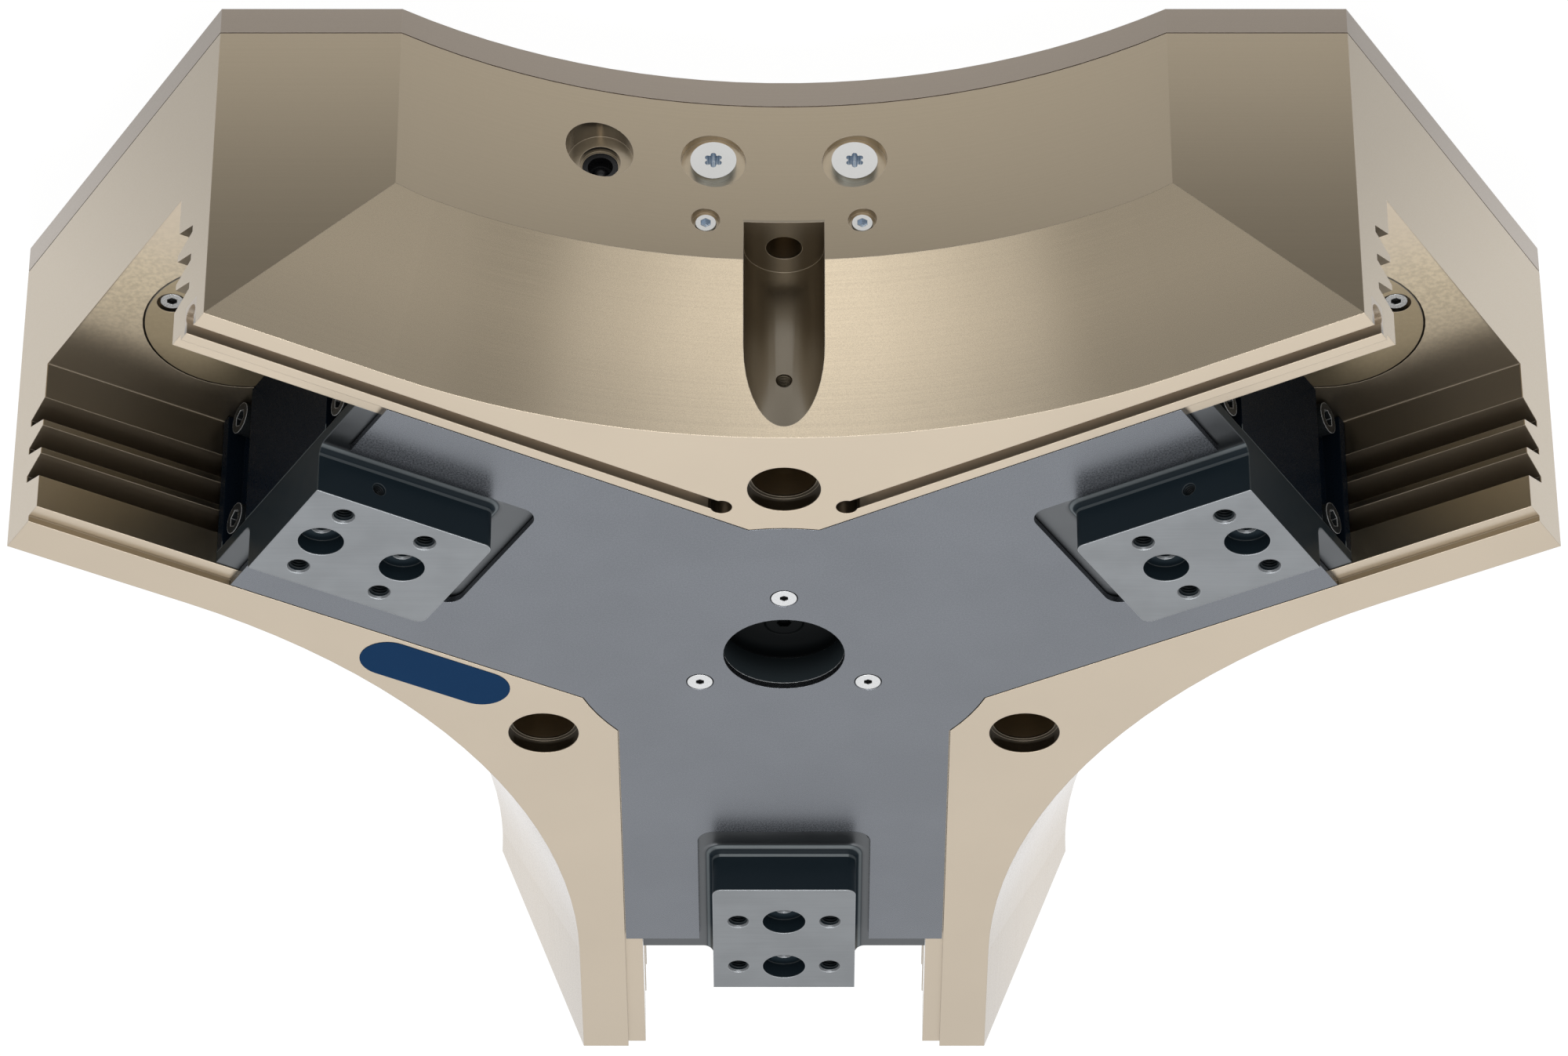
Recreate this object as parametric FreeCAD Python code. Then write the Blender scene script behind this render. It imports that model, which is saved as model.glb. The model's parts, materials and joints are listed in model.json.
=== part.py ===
import FreeCAD, Part
import os
from math import acos, cos, pi, radians, sin, sqrt, tan
from FreeCAD import Vector

# Long-stroke centric gripper with three jaws on a Y-shaped body, in millimetres.
# The rear mounting face lies on z = 0 and the jaws point up, along +Z.
# Every arm is drawn along +X and then turned to its own angle.

ARM_ANGLES = (90.0, 210.0, 330.0)
GAP_ANGLES = (30.0, 150.0, 270.0)
PORT_GAP = 270.0
SENSOR_GROOVES = ((330.0, -1), (210.0, 1))

# Body
arm_length = 235.0
arm_width = 136.0
body_height = 115.0
rear_cover_thickness = 9.5
seam_height = 0.4
seam_depth = 0.6
flat_inner = 115.0
wall_sag = 35.4
front_edge_middle = 114.6
bevel_height = 46.8

# Slots and their guide grooves
slot_width = 94.0
slot_depth = 56.0
centre_pocket_radius = 60.0
groove_count = 3
groove_pitch = 10.6
groove_first = 17.0
groove_opening = 8.5
groove_bottom = 2.4
groove_depth = 9.5
guide_clearance = 0.15
running_clearance = 0.3
seat_clearance = 0.1

# Front cover plate
cover_thickness = 2.0
cover_ledge = 5.8
cover_clearance = 0.4
cover_reach = 166.7
cover_nose_radius = 68.0
cutout_side_clearance = 1.2
cutout_end_clearance = 0.6
cutout_corner = 5.5
centre_bore_radius = 19.0
cover_screw_circle = 30.5

# Base jaws
jaw_width = 46.6
jaw_length = 59.8
jaw_rise = 14.0
jaw_outer = 174.5
jaw_corner = 3.0
jaw_fillet = 3.5
carriage_gap = 3.0
end_plate_thickness = 10.0
end_plate_below_shoulder = 3.7
end_plate_pad = 54.0
end_plate_flange = 4.0
end_plate_edge = 3.5
end_screw_half_span = 35.2
end_screw_low_margin = 6.0
end_screw_high_margin = 5.8
tapped_span_across = 30.0
tapped_span_along = 27.5
tapped_outer_row = 13.0
tapped_radius = 3.0
tapped_depth = 13.0
tapped_chamfer = 0.6
pilot_radius = 7.0
pilot_depth = 5.3
pilot_screw_radius = 2.5
pilot_screw_depth = 14.0
pilot_chamfer = 0.7
side_hole_radius = 2.1
side_hole_depth = 9.0
side_hole_from_face = 7.5
side_hole_from_end = 20.5

# Pneumatic drive inside each base jaw
stroke_in = 9.0
stroke_out = 51.0
cylinder_radius = 20.0
cylinder_wall = 10.0
piston_thickness = 8.0
piston_gap = 0.25
rod_radius = 8.0
rod_spigot_radius = 5.0
rod_spigot_depth = 5.0
bush_wall = 4.0
seal_section = 3.0
anchor_length = 12.0
anchor_width = 33.0
anchor_rise = 12.0
anchor_screw_half_span = 11.2
nut_across_flats = 16.0
nut_height = 8.0

# Rack and pinion that keep the three jaws in step
gear_module = 2.0
pinion_teeth = 24
pressure_angle = 20.0
tooth_backlash = 0.15
tooth_addendum = 1.9
tooth_dedendum = 2.5
flank_steps = 4
rack_gap = 1.2
rack_floor_gap = 2.5
pinion_hub_gap = 0.4
rack_back = 36.0
rack_bar_inner = 27.0
rack_tail_overrun = 6.0
rack_outer_overrun = 10.0
rack_tongue = 26.0
rack_screw_margin = 6.0
rack_screw_web = 3.6
rack_screw_grip = 9.0

# Centre of the body
post_radius = 10.0
post_foot_depth = 12.0
post_shoulder_radius = 13.0
bearing_wall = 6.0
bearing_width = 7.0
bearing_race = 2.0
bearing_race_depth = 0.9
bearing_clearance = 0.2
hub_radius = 37.0
hub_floor = 3.6
hub_recess = 10.0

# Interfaces and holes in the body
mount_circle = 88.2
sleeve_radius = 11.2
sleeve_depth = 4.5
mount_head_radius = 10.0
mount_head_seat = 30.0
mount_hole_radius = 6.75
side_bolt_circle = 128.5
side_pocket_radius = 12.2
side_pocket_seat = 54.0
side_bolt_radius = 5.5
radial_hole_from_front = 20.0
radial_hole_radius = 2.5
radial_hole_depth = 12.0
sensor_groove_offset = 58.9
sensor_groove_width = 4.6
sensor_groove_neck = 2.6
sensor_bore_radius = 3.0
sensor_groove_start = 56.0
sensor_entry_radius = 3.3

# Air ports on the port side
port_offset = 21.4
port_height = 31.3
port_face_radius = 9.9
port_face_depth = 1.3
plug_flange_radius = 7.0
plug_flange_height = 2.6
plug_shank_radius = 4.8
plug_shank_length = 9.0
plug_socket_radius = 2.8
plug_socket_depth = 4.0
plug_lobe_radius = 0.82
bleed_offset = 23.6
bleed_height = 54.0
bleed_recess_radius = 4.4
bleed_recess_depth = 2.2
bleed_radius = 3.1
bleed_length = 7.0
bleed_proud = 0.8
bleed_key = 3.0
bleed_socket_depth = 3.0
purge_offset = 55.7
purge_height = 32.0
purge_bore_radius = 10.2
purge_bore_depth = 6.5
purge_step_radius = 6.2
purge_step_depth = 2.2
purge_insert_radius = 5.4
purge_insert_length = 9.0
purge_insert_bore = 3.8
purge_ball_radius = 2.7

# Rear chambers and the round covers in the slot floors
chamber_inner = 100.0
chamber_end_wall = 13.0
chamber_width = 84.0
chamber_roof_web = 12.0
chamber_corner = 10.0
floor_cover_from_end = 44.2
floor_cover_radius = 31.0
floor_cover_thickness = 5.0
floor_cover_rim = 0.6
floor_opening_radius = 18.0
floor_screw_circle = 24.5
floor_screw_angles = (0.0, 180.0)

# Fasteners: head radius, head height, shank radius and key width across flats
M4_LOW_HEAD = (3.5, 2.8, 2.0, 3.0)
M5_HEAD = (4.25, 5.0, 2.5, 4.0)
M6_HEAD = (5.0, 6.0, 3.0, 5.0)
M4_SUNK = (4.0, 2.3, 2.0, 2.5)
M6_SUNK = (6.0, 3.3, 3.0, 4.0)
hole_clearance = 0.3
thread_clearance = 0.05
head_clearance = 0.5
low_head_clearance = 1.1
low_head_recess = 0.6
sunk_gap = 0.4
rear_screw_length = 20.0
rear_screw_first = 92.0
rear_screw_end_margin = 9.0
rear_screw_half_span = 55.0
cover_screw_length = 10.0
floor_screw_length = 8.0
anchor_screw_depth = 12.0
end_screw_depth = 14.0
hub_screw_length = 20.0

# Values that follow from the sizes above
half_arm = arm_width / 2
half_slot = slot_width / 2
half_cover = half_slot + cover_ledge
slot_floor = body_height - slot_depth
cover_underside = body_height - cover_thickness
carriage_half = half_slot - guide_clearance
carriage_bottom = slot_floor + running_clearance
shoulder = cover_underside - running_clearance
jaw_face = body_height + jaw_rise
jaw_inner = jaw_outer - jaw_length
cutout_width = jaw_width + 2 * (jaw_fillet + cutout_side_clearance)
cutout_start = jaw_inner - stroke_in - jaw_fillet - cutout_end_clearance
end_plate_top = shoulder - end_plate_below_shoulder
end_screw_low = slot_floor + end_screw_low_margin
end_screw_high = end_plate_top - end_screw_high_margin
carriage_outer = jaw_outer - end_plate_thickness
cylinder_height = (carriage_bottom + shoulder) / 2
piston_outer = carriage_outer - stroke_in - piston_gap
piston_inner = piston_outer - piston_thickness
cylinder_inner = piston_inner - stroke_out - piston_gap
carriage_inner = cylinder_inner - cylinder_wall
anchor_outer = carriage_inner - stroke_in - carriage_gap
anchor_inner = anchor_outer - anchor_length
anchor_top = cylinder_height + anchor_rise
pitch_radius = gear_module * pinion_teeth / 2
flat_distance = arm_length * cos(radians(60)) + half_arm * sin(radians(60))
flat_outer = arm_length * sin(radians(60)) - half_arm * cos(radians(60))
wall_middle = flat_distance - wall_sag
bevel_low = body_height - bevel_height
edge_start = half_arm / sin(radians(60))
front_arc_radius = (front_edge_middle - edge_start) * sin(radians(60)) / (1 - sin(radians(60)))
front_arc_centre = front_edge_middle + front_arc_radius
bevel_slope = (wall_middle - front_edge_middle) / bevel_height
wall_arc_radius = (flat_inner ** 2 + wall_sag ** 2) / (2 * wall_sag)
wall_arc_centre = wall_middle + wall_arc_radius
hub_bottom = cover_underside - hub_recess - hub_floor
pinion_top = hub_bottom - pinion_hub_gap
rack_lowest = slot_floor + rack_floor_gap
pinion_bottom = rack_lowest - rack_gap / 2
rack_step = (pinion_top - pinion_bottom) / len(ARM_ANGLES)
rack_height = rack_step - rack_gap
rack_levels = [rack_lowest + i * rack_step for i in range(len(ARM_ANGLES))]
rack_tail = stroke_out + rack_tail_overrun
rack_toothed_outer = stroke_in + rack_outer_overrun
radial_hole_height = body_height - radial_hole_from_front
chamber_outer = arm_length - chamber_end_wall
chamber_roof = slot_floor - chamber_roof_web
floor_cover_centre = arm_length - floor_cover_from_end
floor_screw_seat = slot_floor - low_head_recess - M4_LOW_HEAD[1]
rear_screw_last = arm_length - rear_screw_end_margin
rear_screw_rows = (rear_screw_first, (rear_screw_first + rear_screw_last) / 2, rear_screw_last)
# How far cutting tools reach past a face, and past the end of an arm
skin = 1.0
past = 20.0


def box(x0, x1, y0, y1, z0, z1):
    return Part.makeBox(x1 - x0, y1 - y0, z1 - z0, Vector(x0, y0, z0))


def upright(radius, z0, z1, x=0.0, y=0.0):
    return Part.makeCylinder(radius, z1 - z0, Vector(x, y, z0))


def lying(radius, x0, x1, y, z):
    return Part.makeCylinder(radius, x1 - x0, Vector(x0, y, z), Vector(1, 0, 0))


def turned(shape, angle):
    copy = shape.copy()
    copy.rotate(Vector(0, 0, 0), Vector(0, 0, 1), angle)
    return copy


def moved(shape, x, y, z):
    copy = shape.copy()
    copy.translate(Vector(x, y, z))
    return copy


def fused(shapes):
    return shapes[0].multiFuse(shapes[1:]).removeSplitter()


def carved(solid, tools):
    for tool in tools:
        solid = solid.cut(tool)
    return solid


def flat_face(points):
    return Part.Face(Part.makePolygon(points + [points[0]]))


def plan_prism(outline, z0, z1):
    face = flat_face([Vector(x, y, z0) for x, y in outline])
    return face.extrude(Vector(0, 0, z1 - z0))


def arm_prism(section, x0, x1):
    face = flat_face([Vector(x0, y, z) for y, z in section])
    return face.extrude(Vector(x1 - x0, 0, 0))


def rounded_upright(solid, radius, keep):
    edges = [e for e in solid.Edges if abs(e.tangentAt(e.FirstParameter).z) > 0.99 and keep(e.CenterOfMass)]
    return solid.makeFillet(radius, edges)


def hexagon(across_flats, z0, z1):
    corner = across_flats / 2 / cos(radians(30))
    points = [(corner * cos(radians(60 * k)), corner * sin(radians(60 * k))) for k in range(6)]
    return plan_prism(points, z0, z1)


def socket_screw(size, length):
    # Cylinder-head screw: the head stands on z = 0 and the shank points down.
    head, height, shank, key = size
    body = upright(head, 0, height).fuse(upright(shank, -length, 0))
    return body.cut(hexagon(key, height / 2, height + skin)).removeSplitter()


def sunk_screw(size, length):
    # Countersunk screw: the flat of the head lies on z = 0 and the shank points down.
    head, height, shank, key = size
    cone = Part.makeCone(shank, head, height, Vector(0, 0, -height))
    body = cone.fuse(upright(shank, -length, -height))
    return body.cut(hexagon(key, -height / 2, skin)).removeSplitter()


def sunk_hole(size, length):
    # Countersink a little wider than the head, so that a fine gap is left round it.
    head, height, shank, key = size
    wide = shank + hole_clearance
    flare = (head + sunk_gap - wide) / height
    cone = Part.makeCone(wide, head + sunk_gap + skin * flare, height + skin, Vector(0, 0, -height))
    return cone.fuse(upright(wide, -length, -height + skin / 2))


def upside_down(shape):
    copy = shape.copy()
    copy.rotate(Vector(0, 0, 0), Vector(1, 0, 0), 180)
    return copy


def facing_out(shape):
    # Turns a piece drawn along +Z so that it points along +X.
    copy = shape.copy()
    copy.rotate(Vector(0, 0, 0), Vector(0, 1, 0), 90)
    return copy


def save(name, solids):
    shape = solids[0] if len(solids) == 1 else Part.makeCompound(solids)
    shape.exportStep("parts/" + name + ".step")


def wall_outline():
    # Outline of the upright walls: three arm ends joined by flats and concave arcs.
    edges = []
    last = None
    first = None
    for gap in GAP_ANGLES:
        a = radians(gap)

        def place(out, across):
            return Vector(out * cos(a) - across * sin(a), out * sin(a) + across * cos(a), 0)

        corner = place(flat_distance, -flat_outer)
        if last:
            edges.append(Part.makeLine(last, corner))
        else:
            first = corner
        start = place(flat_distance, -flat_inner)
        end = place(flat_distance, flat_inner)
        edges.append(Part.makeLine(corner, start))
        edges.append(Part.Arc(start, place(wall_middle, 0), end).toShape())
        last = place(flat_distance, flat_outer)
        edges.append(Part.makeLine(end, last))
    edges.append(Part.makeLine(last, first))
    return Part.Face(Part.Wire(edges))


def bevel_wire(z):
    # Edge of the bevel at one height: an arc with its two tangent lines, closed far outside.
    radius = front_arc_radius - bevel_slope * (body_height - z)
    reach = arm_length + past - front_arc_centre * cos(radians(60))
    touch = (front_arc_centre - radius * sin(radians(60)), radius * cos(radians(60)))
    far = (touch[0] + reach * cos(radians(60)), touch[1] + reach * sin(radians(60)))
    outside = far[0] + arm_length
    a = Vector(far[0], -far[1], z)
    b = Vector(touch[0], -touch[1], z)
    c = Vector(touch[0], touch[1], z)
    d = Vector(far[0], far[1], z)
    e = Vector(outside, far[1], z)
    f = Vector(outside, -far[1], z)
    arc = Part.Arc(b, Vector(front_arc_centre - radius, 0, z), c).toShape()
    lines = [Part.makeLine(p, q) for p, q in ((a, b), (c, d), (d, e), (e, f), (f, a))]
    return Part.Wire([lines[0], arc] + lines[1:])


def bevel_tool():
    return Part.makeLoft([bevel_wire(bevel_low - past / 2), bevel_wire(body_height + skin)], True, True)


def groove_heights():
    return [slot_floor + groove_first + i * groove_pitch for i in range(groove_count)]


def groove_half(y):
    # Half the groove's width at a distance y from the arm's axis.
    share = (y - half_slot) / groove_depth
    return (groove_opening + (groove_bottom - groove_opening) * share) / 2


def groove_tools():
    bottom = half_slot + groove_depth
    tools = []
    for height in groove_heights():
        for side in (-1, 1):
            section = [(half_slot - skin, -groove_half(half_slot)), (half_slot, -groove_half(half_slot)),
                       (bottom, -groove_half(bottom)), (bottom, groove_half(bottom)),
                       (half_slot, groove_half(half_slot)), (half_slot - skin, groove_half(half_slot))]
            placed = [(side * y, height + z) for y, z in section]
            tools.append(arm_prism(placed, half_slot / tan(radians(60)), arm_length + past))
    return tools


def guide_ribs():
    flank = (groove_opening - groove_bottom) / 2 / groove_depth
    play = guide_clearance * sqrt(1 + flank ** 2)
    root = carriage_half
    tip = half_slot + groove_depth - running_clearance
    ribs = []
    for height in groove_heights():
        for side in (-1, 1):
            section = [(root - skin, play - groove_half(root)), (root, play - groove_half(root)),
                       (tip, play - groove_half(tip)), (tip, groove_half(tip) - play),
                       (root, groove_half(root) - play), (root - skin, groove_half(root) - play)]
            placed = [(side * y, height + z) for y, z in section]
            ribs.append(arm_prism(placed, carriage_inner, carriage_outer))
    return ribs


def slot_tools():
    tools = [box(0, arm_length + past, -half_slot, half_slot, slot_floor, body_height + skin)]
    tools += groove_tools()
    tools.append(box(0, arm_length + past, -half_cover, half_cover, cover_underside, body_height + skin))
    return tools


def sensor_groove_tool(side):
    y = side * sensor_groove_offset
    half = sensor_groove_width / 2
    neck = box(sensor_groove_start, arm_length + past, y - half, y + half,
               body_height - sensor_groove_neck - sensor_bore_radius, body_height + skin)
    depth = body_height - sensor_groove_neck - sensor_bore_radius
    bore = lying(sensor_bore_radius, sensor_groove_start, arm_length + past, y, depth)
    entry = upright(sensor_entry_radius, depth - sensor_entry_radius, body_height + skin, sensor_groove_start, y)
    return fused([neck, bore, entry])


def chamber_tool():
    half = chamber_width / 2
    solid = box(chamber_inner, chamber_outer, -half, half, 0, chamber_roof)
    return rounded_upright(solid, chamber_corner, lambda p: True)


def floor_screw_places():
    return [(floor_cover_centre + floor_screw_circle * cos(radians(angle)),
             floor_screw_circle * sin(radians(angle))) for angle in floor_screw_angles]


def floor_tools():
    tools = [chamber_tool(),
             upright(floor_cover_radius, slot_floor - floor_cover_thickness, slot_floor + skin, floor_cover_centre),
             upright(floor_opening_radius, chamber_roof - skin, slot_floor, floor_cover_centre)]
    hole = M4_LOW_HEAD[2] + thread_clearance
    tools += [upright(hole, chamber_roof - skin, slot_floor, x, y) for x, y in floor_screw_places()]
    return tools


def rear_screw_places():
    return [(x, side * rear_screw_half_span) for x in rear_screw_rows for side in (-1, 1)]


def rear_thread_tools():
    top = rear_screw_length + skin
    hole = M6_SUNK[2] + thread_clearance
    return [upright(hole, rear_cover_thickness - skin, top, x, y) for x, y in rear_screw_places()]


def anchor_thread_tools():
    hole = M6_HEAD[2] + thread_clearance
    middle = (anchor_inner + anchor_outer) / 2
    bottom = slot_floor - anchor_screw_depth - skin
    return [upright(hole, bottom, slot_floor + skin, middle, side * anchor_screw_half_span) for side in (-1, 1)]


def gap_tools():
    # Through-holes of one gap between two arms, drawn with the gap along +X.
    x = mount_circle
    tools = [upright(sleeve_radius, body_height - sleeve_depth, body_height + skin, x),
             upright(mount_head_radius, mount_head_seat, body_height, x),
             upright(mount_hole_radius, 0, mount_head_seat + skin, x)]
    pocket = upright(side_pocket_radius, side_pocket_seat, body_height + skin, side_bolt_circle)
    pocket = pocket.fuse(box(side_bolt_circle, side_bolt_circle + arm_length, -side_pocket_radius,
                             side_pocket_radius, side_pocket_seat, body_height + skin))
    inner = side_bolt_circle - side_pocket_radius
    tools += [pocket,
              upright(side_bolt_radius, 0, side_pocket_seat + skin, side_bolt_circle),
              lying(radial_hole_radius, inner - radial_hole_depth, inner + skin, 0, radial_hole_height)]
    return tools


def wall_distance(across):
    return wall_arc_centre - sqrt(wall_arc_radius ** 2 - across ** 2)


def port_face(across):
    return wall_distance(abs(across) - port_face_radius) - port_face_depth


def port_tools():
    tools = []
    outside = flat_distance
    for side in (-1, 1):
        y = side * port_offset
        face = port_face(port_offset)
        tools.append(lying(port_face_radius, face, outside, y, port_height))
        tools.append(lying(plug_shank_radius + thread_clearance, face - plug_shank_length - skin, face + skin,
                           y, port_height))
        y = side * bleed_offset
        recess = wall_distance(bleed_offset) - bleed_recess_depth
        tools.append(lying(bleed_recess_radius, recess, outside, y, bleed_height))
        tools.append(lying(bleed_radius + thread_clearance, recess - bleed_length - skin, recess + skin,
                           y, bleed_height))
    recess = wall_distance(purge_offset) - purge_bore_depth
    step = recess - purge_step_depth
    tools.append(lying(purge_bore_radius, recess, outside, purge_offset, purge_height))
    tools.append(lying(purge_step_radius, step, recess + skin, purge_offset, purge_height))
    tools.append(lying(purge_insert_radius + thread_clearance, step - purge_insert_length, step + skin,
                       purge_offset, purge_height))
    return tools


def make_housing():
    outline = wall_outline()
    solid = outline.extrude(Vector(0, 0, body_height - rear_cover_thickness))
    solid.translate(Vector(0, 0, rear_cover_thickness))
    solid = carved(solid, [turned(bevel_tool(), gap) for gap in GAP_ANGLES])
    for tools in (slot_tools(), floor_tools(), rear_thread_tools(), anchor_thread_tools()):
        solid = carved(solid, [turned(fused(tools), angle) for angle in ARM_ANGLES])
    for tool in gap_tools():
        solid = carved(solid, [turned(tool, gap) for gap in GAP_ANGLES])
    centre = [upright(centre_pocket_radius, slot_floor, body_height + skin),
              upright(cover_nose_radius, cover_underside, body_height + skin),
              upright(post_radius, slot_floor - post_foot_depth, slot_floor + skin)]
    solid = carved(solid, centre)
    solid = carved(solid, [turned(sensor_groove_tool(side), angle) for angle, side in SENSOR_GROOVES])
    solid = carved(solid, [turned(tool, PORT_GAP) for tool in port_tools()])
    return solid.removeSplitter()


def make_rear_cover():
    # A shallow rebate along the upper edge leaves a fine shadow line under the housing.
    outline = wall_outline()
    lower = outline.extrude(Vector(0, 0, rear_cover_thickness - seam_height))
    upper = outline.makeOffset2D(-seam_depth).extrude(Vector(0, 0, seam_height))
    solid = fused([lower, moved(upper, 0, 0, rear_cover_thickness - seam_height)])
    tools = []
    for gap in GAP_ANGLES:
        tools.append(turned(upright(mount_hole_radius, -skin, rear_cover_thickness + skin, mount_circle), gap))
        tools.append(turned(upright(sleeve_radius, -skin, sleeve_depth, mount_circle), gap))
        tools.append(turned(upright(side_bolt_radius, -skin, rear_cover_thickness + skin, side_bolt_circle), gap))
    hole = upside_down(sunk_hole(M6_SUNK, rear_cover_thickness + skin))
    for angle in ARM_ANGLES:
        tools += [turned(moved(hole, x, y, 0), angle) for x, y in rear_screw_places()]
    return solid.cut(tools)


def make_rear_screws():
    screw = upside_down(sunk_screw(M6_SUNK, rear_screw_length))
    return [turned(moved(screw, x, y, 0), angle) for angle in ARM_ANGLES for x, y in rear_screw_places()]


def make_front_cover():
    half = half_cover - cover_clearance
    arm = box(0, cover_reach, -half, half, cover_underside, body_height)
    arms = [turned(arm, angle) for angle in ARM_ANGLES]
    disc = upright(cover_nose_radius - cover_clearance, cover_underside, body_height)
    plate = fused(arms + [disc])
    half = cutout_width / 2
    cut = box(cutout_start, cover_reach + past, -half, half, cover_underside - skin, body_height + skin)
    cut = rounded_upright(cut, cutout_corner, lambda p: p.x < cutout_start + skin)
    tools = [turned(cut, angle) for angle in ARM_ANGLES]
    tools.append(upright(centre_bore_radius, cover_underside - skin, body_height + skin))
    hole = moved(sunk_hole(M4_SUNK, cover_thickness + skin), cover_screw_circle, 0, body_height)
    tools += [turned(hole, gap) for gap in GAP_ANGLES]
    return plate.cut(tools).removeSplitter()


def make_cover_screws():
    screw = moved(sunk_screw(M4_SUNK, cover_screw_length), cover_screw_circle, 0, body_height)
    return [turned(screw, gap) for gap in GAP_ANGLES]


def make_hub():
    # Black cup under the cover plate: it caps the pinion and takes the plate's screws.
    solid = upright(hub_radius, hub_bottom, cover_underside)
    thread = M4_SUNK[2] + thread_clearance
    bottom = body_height - cover_screw_length - skin
    cone_room = M4_SUNK[0] + hole_clearance
    tools = [upright(centre_bore_radius, cover_underside - hub_recess, cover_underside + skin)]
    for gap in GAP_ANGLES:
        tools.append(turned(upright(thread, bottom, cover_underside + skin, cover_screw_circle), gap))
        tools.append(turned(upright(cone_room, body_height - M4_SUNK[1] - hole_clearance, cover_underside + skin,
                                    cover_screw_circle), gap))
    tools.append(moved(sunk_hole(M6_SUNK, hub_floor + skin), 0, 0, hub_bottom + hub_floor))
    return solid.cut(tools)


def make_hub_screw():
    return moved(sunk_screw(M6_SUNK, hub_screw_length), 0, 0, hub_bottom + hub_floor)


def make_post():
    solid = fused([upright(post_radius, slot_floor - post_foot_depth, hub_bottom),
                   upright(post_shoulder_radius, slot_floor, pinion_bottom)])
    thread = M6_SUNK[2] + thread_clearance
    return solid.cut(upright(thread, hub_bottom + hub_floor - hub_screw_length - skin, hub_bottom + skin))


def make_bearing(z0):
    outer = post_radius + bearing_wall
    ring = upright(outer, z0, z0 + bearing_width).cut(upright(post_radius, z0 - skin, z0 + bearing_width + skin))
    inner = post_radius + (bearing_wall - bearing_race) / 2
    race = upright(inner + bearing_race, -bearing_race_depth, 0).cut(upright(inner, -bearing_race_depth, 0))
    return ring.cut([moved(race, 0, 0, z0 + bearing_race_depth), moved(race, 0, 0, z0 + bearing_width)])


def make_bearings():
    return [make_bearing(pinion_bottom), make_bearing(pinion_top - bearing_width)]


def involute_angle(radius, base):
    turn = acos(min(1.0, base / radius))
    return tan(turn) - turn


def make_pinion():
    base = pitch_radius * cos(radians(pressure_angle))
    tip = pitch_radius + tooth_addendum
    root = pitch_radius - tooth_dedendum
    half_pitch_angle = (pi / pinion_teeth - tooth_backlash / pitch_radius) / 2
    at_pitch = involute_angle(pitch_radius, base)
    radii = [base + (tip - base) * k / flank_steps for k in range(flank_steps + 1)]
    flank = [(r, half_pitch_angle + at_pitch - involute_angle(r, base)) for r in radii]
    flank = [(root, flank[0][1])] + flank
    points = []
    for tooth in range(pinion_teeth):
        middle = 2 * pi * (tooth + 0.5) / pinion_teeth
        points += [(r * cos(middle - a), r * sin(middle - a)) for r, a in flank]
        points += [(r * cos(middle + a), r * sin(middle + a)) for r, a in reversed(flank)]
    solid = plan_prism(points, pinion_bottom, pinion_top)
    bore = post_radius + bearing_wall + bearing_clearance
    return solid.cut(upright(bore, pinion_bottom - skin, pinion_top + skin))


def rack_outline():
    # Plan of a rack: teeth towards the arm's axis, then a plain bar up to its tongue.
    pitch = pi * gear_module
    slope = tan(radians(pressure_angle))
    half = pitch / 4 - tooth_backlash / 2
    tip = pitch_radius - tooth_addendum
    root = pitch_radius + tooth_dedendum
    points = [(-rack_tail, root)]
    first = -int((rack_tail - pitch / 2) / pitch)
    last = int((rack_toothed_outer - pitch / 2) / pitch)
    for tooth in range(first, last + 1):
        x = tooth * pitch
        wide = half + tooth_dedendum * slope
        narrow = half - tooth_addendum * slope
        points += [(x - wide, root), (x - narrow, tip), (x + narrow, tip), (x + wide, root)]
    end = carriage_inner + rack_tongue
    points += [(rack_toothed_outer, root), (rack_toothed_outer, rack_bar_inner), (end, rack_bar_inner),
               (end, rack_back), (-rack_tail, rack_back)]
    return points


def rack_screw_places():
    y = (rack_bar_inner + rack_back) / 2
    return [(carriage_inner + rack_screw_margin, y), (carriage_inner + rack_tongue - rack_screw_margin, y)]


def make_rack(level):
    solid = plan_prism(rack_outline(), level, level + rack_height)
    hole = M5_HEAD[2] + thread_clearance
    bottom = level + rack_height - rack_screw_grip - skin
    return solid.cut([upright(hole, bottom, level + rack_height + skin, x, y) for x, y in rack_screw_places()])


def make_rack_screws(level):
    seat = level + rack_height + rack_screw_web
    screw = socket_screw(M5_HEAD, rack_screw_web + rack_screw_grip)
    return [moved(screw, x, y, seat) for x, y in rack_screw_places()]


def rack_pocket_tools(level):
    end = carriage_inner + rack_tongue + seat_clearance
    tools = [box(carriage_inner - skin, end, rack_bar_inner - seat_clearance, rack_back + seat_clearance,
                 level - seat_clearance, level + rack_height + seat_clearance)]
    seat = level + rack_height + rack_screw_web
    for x, y in rack_screw_places():
        tools.append(upright(M5_HEAD[2] + hole_clearance, level + rack_height, seat + skin, x, y))
        tools.append(upright(M5_HEAD[0] + head_clearance, seat, shoulder + skin, x, y))
    return tools


def tapped_places():
    outer = jaw_outer - tapped_outer_row
    return [(x, y) for x in (outer - tapped_span_along, outer)
            for y in (-tapped_span_across / 2, tapped_span_across / 2)]


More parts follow.
